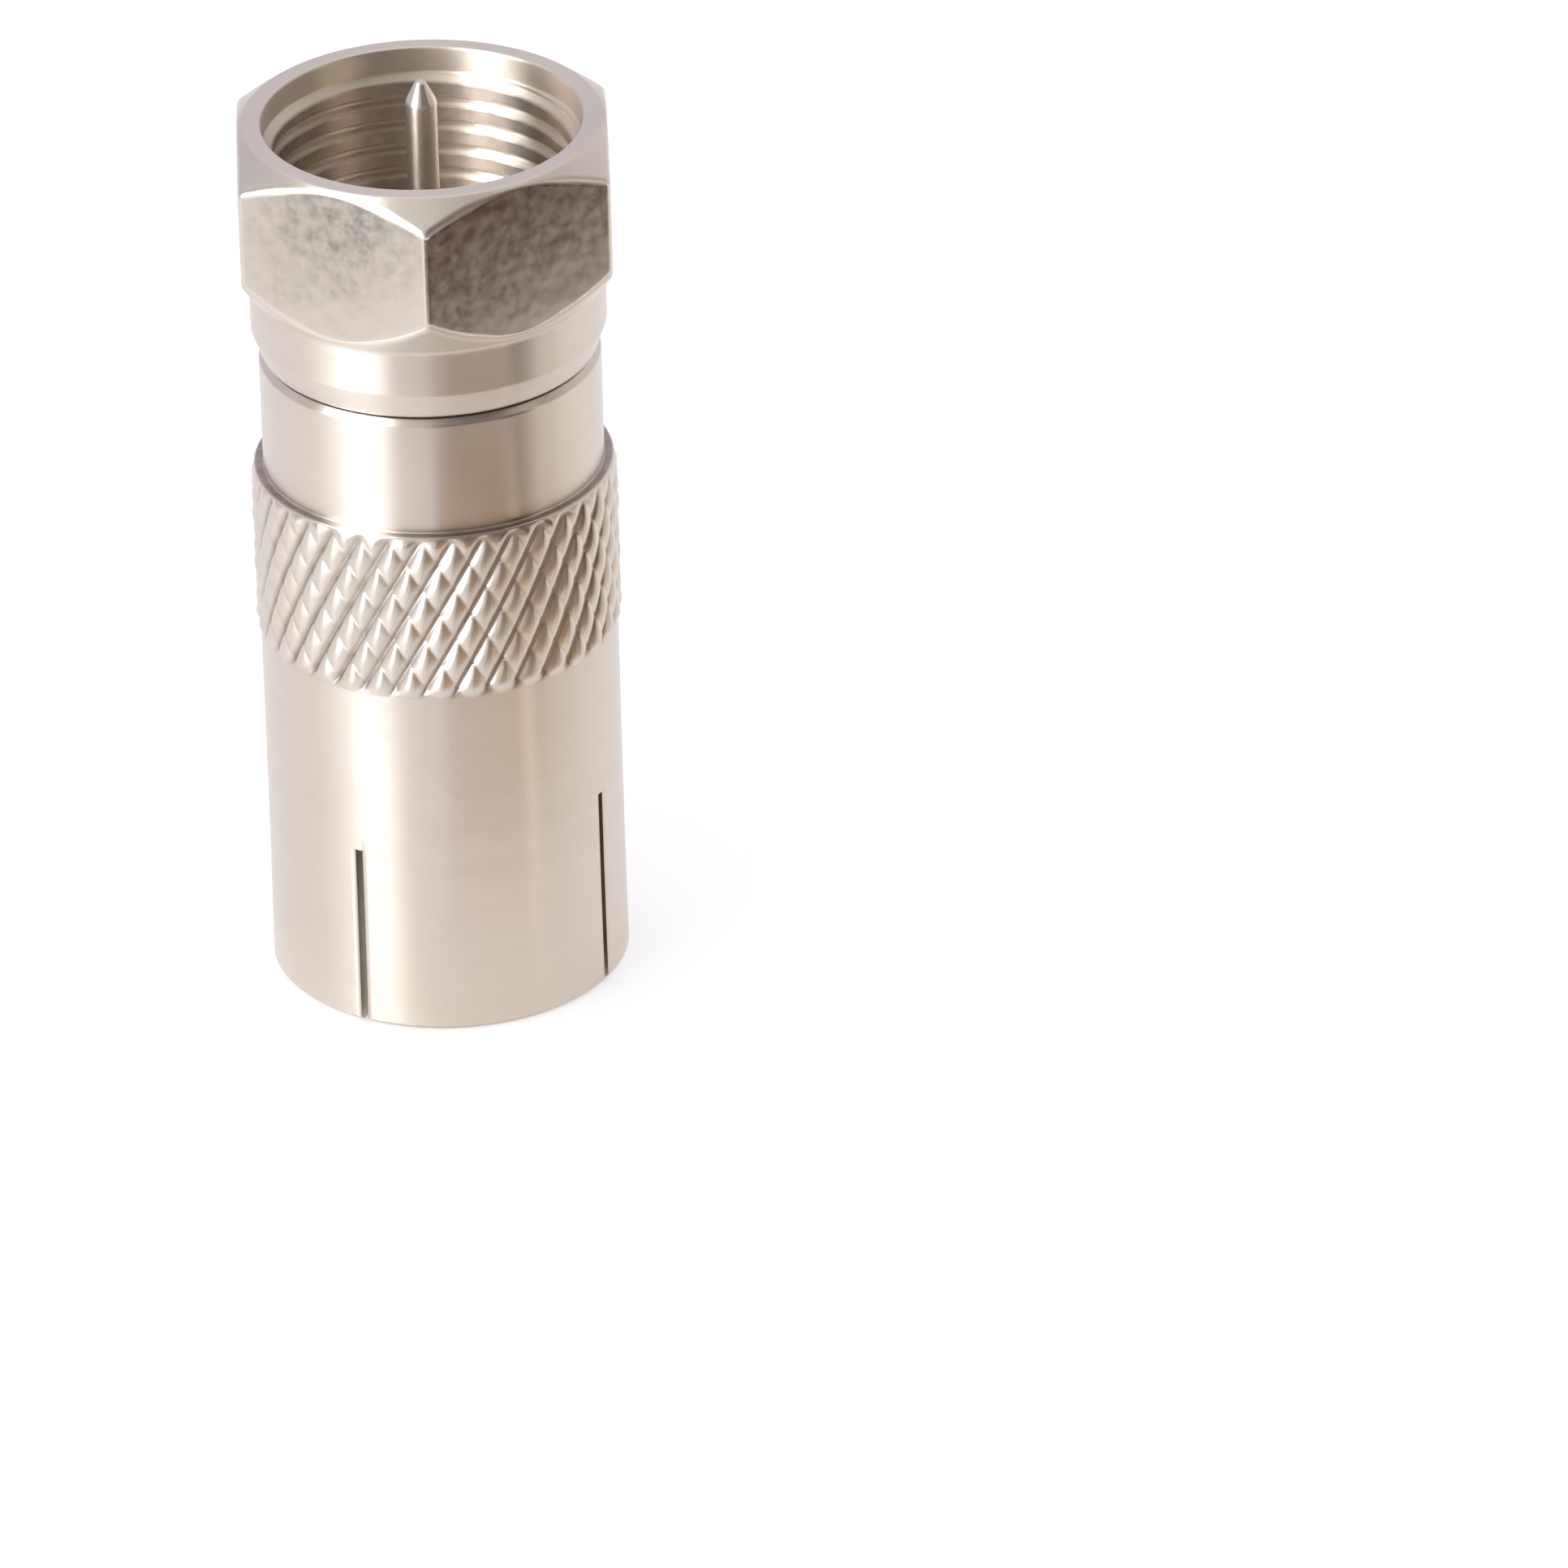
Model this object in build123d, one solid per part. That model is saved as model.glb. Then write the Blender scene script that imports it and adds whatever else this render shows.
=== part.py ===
from build123d import *
import os
from math import ceil, cos, pi, radians, sin, tan

# An adapter that joins a screw-on aerial lead to a push-on one. It stands on its slotted end.
# The common axis is Z, and z = 0 is the slotted end's face. All sizes are in millimetres.

# Lengths along the body, from the slotted end upwards
barrel_length = 11.5
knurl_length = 5.5
neck_length = 3.77

# Slotted barrel, a socket for a push-on plug
barrel_diameter = 10.9
plug_sleeve_diameter = 9.5
plug_sleeve_clearance = 0.05
barrel_cavity_depth = 10.2
barrel_end_chamfer = 0.15
barrel_mouth_chamfer = 0.2
slot_width = 0.24
slot_length_x = 6.6
slot_length_y = 6.0

# Diamond-knurled grip
knurl_diameter = 11.15
knurl_depth = 0.2
knurl_pitch = 0.92
knurl_helix_angle = 30.0
knurl_flat_share = 0.22
knurl_rim_height = 0.35
knurl_rim_depth = 0.12

# Smooth part between the grip and the nut
neck_diameter = 10.35
neck_edge_chamfer = 0.1

# Coupling nut
nut_length = 7.5
nut_across_flats = 11.1
nut_collar_wall = 0.4625
nut_collar_length = 2.3
nut_collar_chamfer = 0.3
nut_collar_chamfer_length = 0.85
nut_hex_rear_angle = 52.0
nut_face_diameter = 10.8
nut_face_chamfer_angle = 37.5
nut_mouth_clearance = 0.0625
nut_mouth_depth = 0.8
nut_lip_thickness = 1.4
nut_relief_depth = 0.15

# Thread of the coupling nut, 3/8-32 inch, right-handed, with wide flat crests and sharp roots
thread_major_diameter = 9.525
thread_depth = 0.2625
thread_pitch = 25.4 / 32
thread_crest_share = 0.49
thread_run_in = 0.05
thread_facets = 20

# Sleeve that carries the nut and meets the mating socket
ferrule_diameter = 7.0
ferrule_seat_depth = 5.0
ferrule_bore_diameter = 5.0
ferrule_lip_bore_diameter = 4.0
ferrule_lip_length = 0.8
ferrule_end_chamfer = 0.15
flange_diameter = 8.2
flange_thickness = 0.9
flange_chamfer = 0.15

# Centre contact of the slotted end, a split tube
contact_pin_diameter = 2.4
contact_diameter = 3.5
contact_setback = 1.2
contact_bore_depth = 9.3
contact_mouth_chamfer = 0.2
contact_slot_width = 0.35
contact_slot_length = 5.5
contact_collar_diameter = 4.4
contact_collar_length = 1.0
contact_collar_top_depth = 0.85

# Centre pin of the threaded end; its shank sits in the bush and ends at the bush's front face
pin_diameter = 0.95
pin_shank_diameter = 1.3
pin_point_length = 0.65
pin_point_diameter = 0.3
pin_reach = 1.2
pin_seat_depth = 3.2

# Insulating bushes
coax_bush_nose_diameter = 6.0
coax_bush_nose_reach = 0.8
coax_bush_flange_length = 3.3
f_bush_setback = 0.2

# Clearances
seat_clearance = 0.02
nut_turning_clearance = 0.07
nut_rear_gap = 0.08
nut_lip_gap = 0.1

# Diameters worked out round the thread
thread_crest_diameter = thread_major_diameter - 2 * thread_depth
nut_mouth_diameter = thread_major_diameter + 2 * nut_mouth_clearance
nut_relief_diameter = thread_major_diameter + 2 * nut_relief_depth
nut_collar_diameter = nut_relief_diameter + 2 * nut_collar_wall

# Heights worked out from the lengths
grip_bottom = barrel_length
grip_top = grip_bottom + knurl_length
body_top = grip_top + neck_length
nut_bottom = body_top + nut_rear_gap
nut_top = nut_bottom + nut_length
lip_top = nut_bottom + nut_lip_thickness
thread_bottom = lip_top + thread_run_in
relief_top = thread_bottom + thread_pitch + thread_run_in
mouth_floor = nut_top - nut_mouth_depth
flange_bottom = lip_top + nut_lip_gap
flange_top = flange_bottom + flange_thickness
f_bush_top = flange_top - f_bush_setback
ferrule_bottom = body_top - ferrule_seat_depth
coax_bush_step = ferrule_bottom - coax_bush_flange_length
contact_collar_top = ferrule_bottom - contact_collar_top_depth
contact_collar_bottom = contact_collar_top - contact_collar_length
pin_bottom = contact_collar_top - pin_seat_depth
pin_top = nut_top + pin_reach


def turned(outline):
    """A solid of revolution about Z whose outline is a closed list of (radius, height) points."""
    profile = Polyline(*[(radius, 0, height) for radius, height in outline], close=True)
    return revolve(make_face(profile), Axis.Z)


def rod(diameter, bottom, top):
    """A plain cylinder on the axis between two heights."""
    half = diameter / 2
    return turned([(0, bottom), (half, bottom), (half, top), (0, top)])


def cross_slots(width, diameter, bottom, length_x, length_y):
    """Two saw cuts right across the bottom end, one along X and one along Y."""
    slots = []
    for angle, length in ((0, length_x), (90, length_y)):
        height = length + width
        blade = Pos(0, 0, bottom + length - height / 2) * Box(2 * diameter, width, height)
        slots.append(Rot(0, 0, angle) * blade)
    return slots


def knurl_band():
    """The grip as one closed polyhedron of truncated diamonds, with a low rim at each end."""
    columns = 4 * round(pi * knurl_diameter / knurl_pitch / 2)
    half_pitch = knurl_pitch / tan(radians(knurl_helix_angle)) / 2
    lattice_height = knurl_length - 2 * knurl_rim_height
    rows = round(lattice_height / half_pitch)
    row_height = lattice_height / rows
    crest = knurl_diameter / 2
    valley = crest - knurl_depth
    apex = (crest - knurl_flat_share * valley) / (1 - knurl_flat_share)
    rim = crest - knurl_rim_depth

    def is_peak(column, row):
        return 0 <= row <= rows and (column + row) % 2 == 0

    def node(column, row):
        if row < 0:
            radius, height = rim, grip_bottom
        elif row > rows:
            radius, height = rim, grip_top
        else:
            radius = apex if is_peak(column, row) else valley
            height = grip_bottom + knurl_rim_height + row * row_height
        angle = 2 * pi * column / columns
        return Vector(radius * cos(angle), radius * sin(angle), height)

    def cut_corner(peak, foot):
        foot_radius = Vector(foot.X, foot.Y).length
        return peak + (foot - peak) * (apex - crest) / (apex - foot_radius)

    def polygon(*corners):
        return Face(Wire.make_polygon(corners, close=True))

    def cell(column, row):
        """The two triangles between four neighbouring nodes, split along the groove between peaks."""
        corners = [(column, row), (column + 1, row), (column + 1, row + 1), (column, row + 1)]
        start = next(number for number in range(4) if is_peak(*corners[number]))
        corners = corners[start:] + corners[:start]
        faces = []
        for tip, side, other in ((0, 1, 3), (2, 3, 1)):
            peak, foot, far_foot = (node(*corners[number]) for number in (tip, side, other))
            if is_peak(*corners[tip]):
                faces.append(polygon(cut_corner(peak, foot), foot, far_foot, cut_corner(peak, far_foot)))
            else:
                faces.append(polygon(peak, foot, far_foot))
        return faces

    def flat_top(column, row):
        peak = node(column, row)
        feet = [node(column + 1, row), node(column, row + 1), node(column - 1, row), node(column, row - 1)]
        east, north, west, south = (cut_corner(peak, foot) for foot in feet)
        return [polygon(east, north, south), polygon(north, west, south)]

    faces = []
    for column in range(columns):
        for row in range(-1, rows + 1):
            faces += cell(column, row)
            if is_peak(column, row):
                faces += flat_top(column, row)
    faces.append(polygon(*[node(column, rows + 1) for column in range(columns)]))
    faces.append(polygon(*[node(column, -1) for column in reversed(range(columns))]))
    return Solid(Shell(faces))


def body():
    """Barrel, knurled grip and neck, turned from one bar, with the cavity and the slots."""
    outer = barrel_diameter / 2
    neck = neck_diameter / 2
    blank = turned([
        (0, 0),
        (outer - barrel_end_chamfer, 0),
        (outer, barrel_end_chamfer),
        (outer, grip_bottom),
        (neck, grip_bottom),
        (neck, body_top - neck_edge_chamfer),
        (neck - neck_edge_chamfer, body_top),
        (0, body_top),
    ])
    cavity = plug_sleeve_diameter / 2 + plug_sleeve_clearance
    bush_hole = coax_bush_nose_diameter / 2 + seat_clearance
    ferrule_hole = ferrule_diameter / 2 + seat_clearance
    hollow = turned([
        (0, 0),
        (cavity + barrel_mouth_chamfer, 0),
        (cavity, barrel_mouth_chamfer),
        (cavity, barrel_cavity_depth),
        (bush_hole, barrel_cavity_depth),
        (bush_hole, coax_bush_step),
        (ferrule_hole, coax_bush_step),
        (ferrule_hole, body_top),
        (0, body_top),
    ])
    slots = cross_slots(slot_width, barrel_diameter, 0, slot_length_x, slot_length_y)
    return blank + knurl_band() - hollow - slots


def thread_core():
    """The space inside the thread, a faceted screw. Its ends climb one pitch in a turn, and lie in
    the plain relief and the plain mouth."""
    grow = 1 / cos(pi / thread_facets)
    crest = thread_crest_diameter / 2 * grow
    root = thread_major_diameter / 2 * grow
    flank = thread_pitch * (1 - thread_crest_share) / 2
    profile = [(crest, 0), (root, flank), (crest, 2 * flank)]
    rows = 3 * ceil((mouth_floor - thread_bottom) / thread_pitch)

    def node(column, row):
        turns, place = divmod(row, 3)
        radius, rise = profile[place]
        height = thread_bottom + rise + thread_pitch * (turns + column / thread_facets)
        angle = 2 * pi * column / thread_facets
        return Vector(radius * cos(angle), radius * sin(angle), height)

    def polygon(*corners):
        return Face(Wire.make_polygon(corners, close=True))

    first_middle = Vector(0, 0, node(0, 0).Z)
    last_middle = Vector(0, 0, node(0, rows + 3).Z)
    faces = []
    for column in range(thread_facets):
        for row in range(rows):
            low, next_low = node(column, row), node(column + 1, row)
            high, next_high = node(column, row + 1), node(column + 1, row + 1)
            if row % 3 == 2:
                faces.append(polygon(low, next_low, next_high, high))
            else:
                faces.append(polygon(low, next_low, high))
                faces.append(polygon(next_low, next_high, high))
        faces.append(polygon(first_middle, node(column + 1, 0), node(column, 0)))
        faces.append(polygon(last_middle, node(column, rows), node(column + 1, rows)))
    faces.append(polygon(first_middle, *[node(0, row) for row in range(4)]))
    faces.append(polygon(last_middle, *[node(0, rows + row) for row in (3, 2, 1, 0)]))
    return Solid(Shell(faces))


def coupling_nut():
    """Hexagon nut with a turned collar at the rear and an inner lip that the ferrule's flange holds."""
    collar = nut_collar_diameter / 2
    corner = nut_across_flats / 2 / cos(pi / 6)
    face = nut_face_diameter / 2
    hex_rise = (corner - collar) * tan(radians(nut_hex_rear_angle))
    face_fall = (corner - face) * tan(radians(nut_face_chamfer_angle))
    collar_top = nut_bottom + nut_collar_length
    blank = turned([
        (0, nut_bottom),
        (collar - nut_collar_chamfer, nut_bottom),
        (collar, nut_bottom + nut_collar_chamfer_length),
        (collar, collar_top),
        (corner, collar_top + hex_rise),
        (corner, nut_top - face_fall),
        (face, nut_top),
        (0, nut_top),
    ])
    hexagon = extrude(RegularPolygon(nut_across_flats / 2, 6, major_radius=False), nut_length)
    lip_hole = ferrule_diameter / 2 + nut_turning_clearance
    relief = nut_relief_diameter / 2
    rear_hole = turned([
        (0, nut_bottom),
        (lip_hole, nut_bottom),
        (lip_hole, lip_top),
        (relief, lip_top),
        (relief, relief_top),
        (0, relief_top),
    ])
    mouth = rod(nut_mouth_diameter, mouth_floor, nut_top)
    return blank & Pos(0, 0, nut_bottom) * hexagon - rear_hole - mouth - thread_core()


def ground_ferrule():
    """Sleeve pressed into the body, with the flange that keeps the nut and meets the mating socket."""
    stem = ferrule_diameter / 2
    flange = flange_diameter / 2
    bore = ferrule_bore_diameter / 2 + seat_clearance
    lip = ferrule_lip_bore_diameter / 2 + seat_clearance
    return turned([
        (bore, ferrule_bottom),
        (stem - ferrule_end_chamfer, ferrule_bottom),
        (stem, ferrule_bottom + ferrule_end_chamfer),
        (stem, flange_bottom),
        (flange, flange_bottom),
        (flange, flange_top - flange_chamfer),
        (flange - flange_chamfer, flange_top),
        (lip, flange_top),
        (lip, flange_top - ferrule_lip_length),
        (bore, flange_top - ferrule_lip_length),
    ])


def socket_contact():
    """Split tube for the push-on plug's pin, with a collar held between the two bushes."""
    outer = contact_diameter / 2
    bore = contact_pin_diameter / 2
    collar = contact_collar_diameter / 2
    blank = turned([
        (0, contact_setback),
        (outer, contact_setback),
        (outer, contact_collar_bottom),
        (collar, contact_collar_bottom),
        (collar, contact_collar_top),
        (0, contact_collar_top),
    ])
    hollow = turned([
        (0, contact_setback),
        (bore + contact_mouth_chamfer, contact_setback),
        (bore, contact_setback + contact_mouth_chamfer),
        (bore, contact_setback + contact_bore_depth),
        (0, contact_setback + contact_bore_depth),
    ])
    pin_seat = rod(pin_shank_diameter + 2 * seat_clearance, pin_bottom, contact_collar_top)
    slots = cross_slots(
        contact_slot_width, contact_diameter, contact_setback, contact_slot_length, contact_slot_length
    )
    return blank - hollow - pin_seat - slots


def f_pin():
    """Round pin with a short blunt point, pressed into the back of the split contact."""
    shank = pin_shank_diameter / 2
    pin = pin_diameter / 2
    point = pin_point_diameter / 2
    return turned([
        (0, pin_bottom),
        (shank, pin_bottom),
        (shank, f_bush_top),
        (pin, f_bush_top),
        (pin, pin_top - pin_point_length),
        (point, pin_top),
        (0, pin_top),
    ])


def coax_insulator():
    """Bush that centres the split contact in the barrel, trapped under the ferrule."""
    flange = ferrule_diameter / 2
    nose = coax_bush_nose_diameter / 2
    hole = contact_diameter / 2 + seat_clearance
    recess = contact_collar_diameter / 2 + seat_clearance
    return turned([
        (hole, barrel_cavity_depth - coax_bush_nose_reach),
        (nose, barrel_cavity_depth - coax_bush_nose_reach),
        (nose, coax_bush_step),
        (flange, coax_bush_step),
        (flange, ferrule_bottom),
        (recess, ferrule_bottom),
        (recess, contact_collar_bottom),
        (hole, contact_collar_bottom),
    ])


def f_insulator():
    """Bush that centres the pin in the ferrule, from the contact's collar to the front opening."""
    spigot = contact_collar_diameter / 2
    middle = ferrule_bore_diameter / 2
    nose = ferrule_lip_bore_diameter / 2
    hole = pin_shank_diameter / 2 + seat_clearance
    shoulder = flange_top - ferrule_lip_length
    return turned([
        (hole, contact_collar_top),
        (spigot, contact_collar_top),
        (spigot, ferrule_bottom),
        (middle, ferrule_bottom),
        (middle, shoulder),
        (nose, shoulder),
        (nose, f_bush_top),
        (hole, f_bush_top),
    ])


os.makedirs("parts", exist_ok=True)
for make in (body, coupling_nut, ground_ferrule, socket_contact, f_pin, coax_insulator, f_insulator):
    export_step(make(), f"parts/{make.__name__}.step")
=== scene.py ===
import bmesh
import bpy
import numpy as np
from mathutils import Matrix, Vector


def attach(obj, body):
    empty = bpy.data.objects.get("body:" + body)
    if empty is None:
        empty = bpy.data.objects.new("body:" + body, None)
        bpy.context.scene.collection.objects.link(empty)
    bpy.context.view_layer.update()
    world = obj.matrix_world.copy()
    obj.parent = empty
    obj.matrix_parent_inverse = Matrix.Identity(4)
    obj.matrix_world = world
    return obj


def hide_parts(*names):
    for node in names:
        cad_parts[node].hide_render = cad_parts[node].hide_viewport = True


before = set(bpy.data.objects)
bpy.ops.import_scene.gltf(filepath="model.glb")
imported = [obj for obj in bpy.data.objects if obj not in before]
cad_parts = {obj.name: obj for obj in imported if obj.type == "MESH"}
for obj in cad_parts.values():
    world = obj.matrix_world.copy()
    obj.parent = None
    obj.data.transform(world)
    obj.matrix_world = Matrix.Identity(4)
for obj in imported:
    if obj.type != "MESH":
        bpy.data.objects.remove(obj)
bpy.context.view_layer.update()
scene = bpy.context.scene
millimetre = 0.001  # every length in the dictionaries below is in millimetres
sharpAngle = 50  # degrees between two faces, above which their edge is hard
mergeDistance = 1e-8  # metres between two points that become one
print("frame loaded:", ", ".join(sorted(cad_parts)))


# Shape helpers

# Each corner (radius, height, rounding) becomes a short arc tangent to both of its sides, with a
# guard point just outside each end of the arc, so that flat sides stay flat under smooth shading.
def roundedSection(corners, closed=True, steps=4, guard=0.012):
    corners = np.array(corners, float)
    count = len(corners)
    runs = []
    for number, (radius, height, rounding) in enumerate(corners):
        here = np.array([radius, height])
        if rounding == 0 or (not closed and number in (0, count - 1)):
            runs.append(here[None])
            continue
        back = corners[number - 1, :2] - here
        ahead = corners[(number + 1) % count, :2] - here
        back, ahead = back / np.linalg.norm(back), ahead / np.linalg.norm(ahead)
        halfAngle = np.arccos(np.clip(back @ ahead, -1, 1)) / 2
        bisector = (back + ahead) / np.linalg.norm(back + ahead)
        middle = here + bisector * rounding / np.sin(halfAngle)
        start = here + back * rounding / np.tan(halfAngle)
        end = here + ahead * rounding / np.tan(halfAngle)
        turn = np.pi - 2 * halfAngle
        share = np.linspace(0, 1, steps + 1)[:, None]
        arc = np.sin((1 - share) * turn) * (start - middle) + np.sin(share * turn) * (end - middle)
        arc = middle + arc / np.sin(turn)
        runs.append(np.vstack([start + back * guard, arc, end + ahead * guard]))
    return np.vstack(runs)


# Radius and height arrays of shape (rows, columns) turned about Z by the angles.
def turnedPoints(radii, heights, angles):
    radii, heights, angles = np.broadcast_arrays(radii, heights, angles)
    return np.stack([radii * np.cos(angles), radii * np.sin(angles), heights], -1)


# The four corner numbers of every cell of a (rows, columns) grid that closes both ways.
def closedCells(rows, columns):
    row, column = np.arange(rows)[:, None], np.arange(columns)[None]
    nextRow, nextColumn = (row + 1) % rows, (column + 1) % columns
    corners = [row * columns + column, row * columns + nextColumn]
    corners += [nextRow * columns + nextColumn, nextRow * columns + column]
    return np.stack(np.broadcast_arrays(*corners), -1)


# The larger of two values, with the crease between them rounded over about the width.
def softMax(first, second, width):
    return (first + second + np.sqrt((first - second) ** 2 + width ** 2)) / 2


# One row of values for each vertex, edge or face of a mesh.
def readAll(elements, label, width=3, kind=float):
    values = np.zeros(len(elements) * width, kind)
    elements.foreach_get(label, values)
    return values.reshape(-1, width)


# Hard edges between two heights and outside a radius are made soft again.
def softenEdges(mesh, bottom, top, radius):
    places = readAll(mesh.vertices, "co") / millimetre
    inside = (places[:, 2] > bottom) & (places[:, 2] < top)
    inside &= np.hypot(places[:, 0], places[:, 1]) > radius
    ends = readAll(mesh.edges, "vertices", 2, np.int32)
    hardness = mesh.attributes["sharp_edge"].data
    sharp = readAll(hardness, "value", 1, bool)[:, 0] & ~inside[ends].all(1)
    hardness.foreach_set("value", sharp)


# Puts points and groups of faces into a mesh object whose faces point outwards. finishOf gives each
# face its material's number from the radius, height and normal at its middle. softBetween is the
# bottom, top and radius for softenEdges.
def makePiece(name, points, faceGroups, materials, finishOf, softBetween=None):
    points = points.reshape(-1, 3)
    used = np.unique(np.concatenate([np.ravel(group) for group in faceGroups]))
    numberOf = np.zeros(len(points), int)
    numberOf[used] = np.arange(len(used))
    faces = [face for group in faceGroups for face in numberOf[group].tolist()]
    mesh = bpy.data.meshes.new(name)
    mesh.from_pydata(points[used] * millimetre, [], faces)
    work = bmesh.new()
    work.from_mesh(mesh)
    bmesh.ops.remove_doubles(work, verts=work.verts, dist=mergeDistance)
    bmesh.ops.recalc_face_normals(work, faces=work.faces)
    work.to_mesh(mesh)
    work.free()
    for material in materials:
        mesh.materials.append(material)
    centres = readAll(mesh.polygons, "center") / millimetre
    radii = np.hypot(centres[:, 0], centres[:, 1])
    finishes = finishOf(radii, centres[:, 2], readAll(mesh.polygons, "normal"))
    mesh.polygons.foreach_set("material_index", finishes.astype(np.int32))
    mesh.polygons.foreach_set("use_smooth", np.ones(len(radii), bool))
    mesh.set_sharp_from_angle(angle=np.radians(sharpAngle))
    if softBetween and "sharp_edge" in mesh.attributes:
        softenEdges(mesh, *softBetween)
    mesh.validate()
    mesh.update()
    piece = bpy.data.objects.new(name, mesh)
    scene.collection.objects.link(piece)
    print("made", name, "with", len(mesh.polygons), "faces")
    return piece


def oneFinish(radius, height, normal):
    return np.zeros(len(radius))


# Hides the CAD node that a piece stands for and puts the piece on the body it moves with.
def seat(piece, node, body):
    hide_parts(node)
    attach(piece, body)


# Saw slots, each (share of a turn, top), through the wall of a turned, closed section. The columns
# beside a slot are moved to the angle asin(half width / radius), so that its sides are flat and
# parallel, and return to their own angles over a few half widths above its top. Its edges are worn:
# they are drawn in towards the middle of the wall. The cells between the sides are left out up to
# the slot's top, and the sides and the top are closed.
def slottedTube(section, radii, columns, slots, saw, wallMiddle, side=3, fade=4, wear=0.7):
    rows, heights = len(section), section[:, 1]
    step = 2 * np.pi / columns
    angles = np.broadcast_to(np.arange(columns) * step, (rows, columns)).copy()
    radii = np.broadcast_to(radii, (rows, columns)).copy()
    cells = closedCells(rows, columns)
    kept = np.ones((rows, columns), bool)
    worn = np.sign(wallMiddle - section[:, 0]) * saw["slotEdge"] * wear
    fromMiddleRow = np.arange(rows) - rows // 2  # the outer wall's rows come before it
    walls = []
    for share, top in slots:
        centre = round(columns * share)
        below = heights <= top + 1e-6  # a row at the top itself counts too
        weight = np.clip(1 - (heights - top) / (fade * saw["slotHalfWidth"]), 0, 1)
        for offset in (-side - 1, -side, side, side + 1):
            column = (centre + offset) % columns
            across = saw["slotHalfWidth"] + (saw["slotEdge"] if abs(offset) > side else 0)
            wanted = np.sign(offset) * np.arcsin(across / radii[:, column])
            angles[:, column] = centre * step + offset * step * (1 - weight) + wanted * weight
            if abs(offset) == side:
                radii[:, column] += np.where(below, worn, 0)
        sawn = below & np.roll(below, -1)
        between = (centre + np.arange(-side, side)) % columns
        kept[np.ix_(sawn, between)] = False
        outerTop = np.flatnonzero(sawn & (fromMiddleRow < 0)).max() + 1
        innerTop = np.flatnonzero(sawn & (fromMiddleRow > 0)).min()
        run = np.concatenate([np.arange(innerTop, rows), np.arange(0, outerTop + 1)])
        left, right = (centre - side) % columns, (centre + side) % columns
        walls += [(run * columns + left)[None], (run[::-1] * columns + right)[None]]
        nextOne = (between + 1) % columns
        roof = [innerTop * columns + between, innerTop * columns + nextOne]
        roof += [outerTop * columns + nextOne, outerTop * columns + between]
        walls.append(np.stack(roof, -1))
    return turnedPoints(radii, heights[:, None], angles), cells, kept, walls


# A rounded section carried once round Z in even columns.
def turnedPiece(name, corners, columns, material, **rounding):
    section = roundedSection(corners, **rounding)
    angles = np.arange(columns) * 2 * np.pi / columns
    points = turnedPoints(section[:, :1], section[:, 1:], angles[None])
    cells = closedCells(len(section), columns).reshape(-1, 4)
    return makePiece(name, points, [cells], [material], oneFinish)


# Shader helpers

# A socket takes another node's output, or a fixed value.
def feed(tree, socket, value):
    if isinstance(value, bpy.types.NodeSocket):
        tree.links.new(value, socket)
    else:
        socket.default_value = value


def addNode(tree, kind, feeds=None, **settings):
    new = tree.nodes.new(kind)
    for key, value in settings.items():
        setattr(new, key, value)
    for key, value in (feeds or {}).items():
        feed(tree, new.inputs[key], value)
    return new


def calculate(tree, operation, first, second=0.0):
    feeds = {0: first, 1: second}
    return addNode(tree, "ShaderNodeMath", feeds, operation=operation).outputs[0]


def plus(tree, first, second):
    return calculate(tree, "ADD", first, second)


def times(tree, first, second):
    return calculate(tree, "MULTIPLY", first, second)


def spaceNoise(tree, place, scale, detail, **more):
    feeds = {"Vector": place, "Scale": scale, "Detail": detail, **more}
    return addNode(tree, "ShaderNodeTexNoise", feeds).outputs[0]


def lineNoise(tree, along, scale, detail, **more):
    feeds = {"W": along, "Scale": scale, "Detail": detail, **more}
    return addNode(tree, "ShaderNodeTexNoise", feeds, noise_dimensions="1D").outputs[0]


def clamped(tree, value):
    return addNode(tree, "ShaderNodeClamp", {"Value": value}).outputs[0]


# Noise mostly lies between 0.3 and 0.7, which is stretched to the spread either side of the middle.
def spreadAround(tree, texture, middle, spread):
    feeds = {"Value": texture, "From Min": 0.3, "From Max": 0.7}
    feeds.update({"To Min": middle - spread, "To Max": middle + spread})
    return addNode(tree, "ShaderNodeMapRange", feeds).outputs[0]


def mixColour(tree, factor, first, second):
    new = addNode(tree, "ShaderNodeMix", data_type="RGBA")
    for number, value in ((0, factor), (6, first), (7, second)):  # 6 and 7 are its colour sockets
        feed(tree, new.inputs[number], value)
    return new.outputs[2]


def setSockets(node, values):
    for label, value in values.items():
        node.inputs[label].default_value = value


def newGroup(name, inputs, outputs):
    tree = bpy.data.node_groups.new(name, "ShaderNodeTree")
    for label, value in inputs.items():
        socket = tree.interface.new_socket(label, in_out="INPUT", socket_type="NodeSocketFloat")
        socket.default_value = value
    for label in outputs:
        tree.interface.new_socket(label, in_out="OUTPUT", socket_type="NodeSocketFloat")
    given = tree.nodes.new("NodeGroupInput").outputs
    return tree, given, tree.nodes.new("NodeGroupOutput").inputs


def useGroup(tree, group, values):
    new = addNode(tree, "ShaderNodeGroup", node_tree=group)
    setSockets(new, values)
    return new.outputs


def newMaterial(name):
    material = bpy.data.materials.new(name)
    material.use_nodes = True
    tree = material.node_tree
    return material, tree, tree.nodes["Principled BSDF"]


# Object coordinates in millimetres.
def placeOnPart(tree):
    source = addNode(tree, "ShaderNodeTexCoord").outputs["Object"]
    feeds = {0: source, "Scale": 1 / millimetre}
    return addNode(tree, "ShaderNodeVectorMath", feeds, operation="SCALE").outputs[0]


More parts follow.
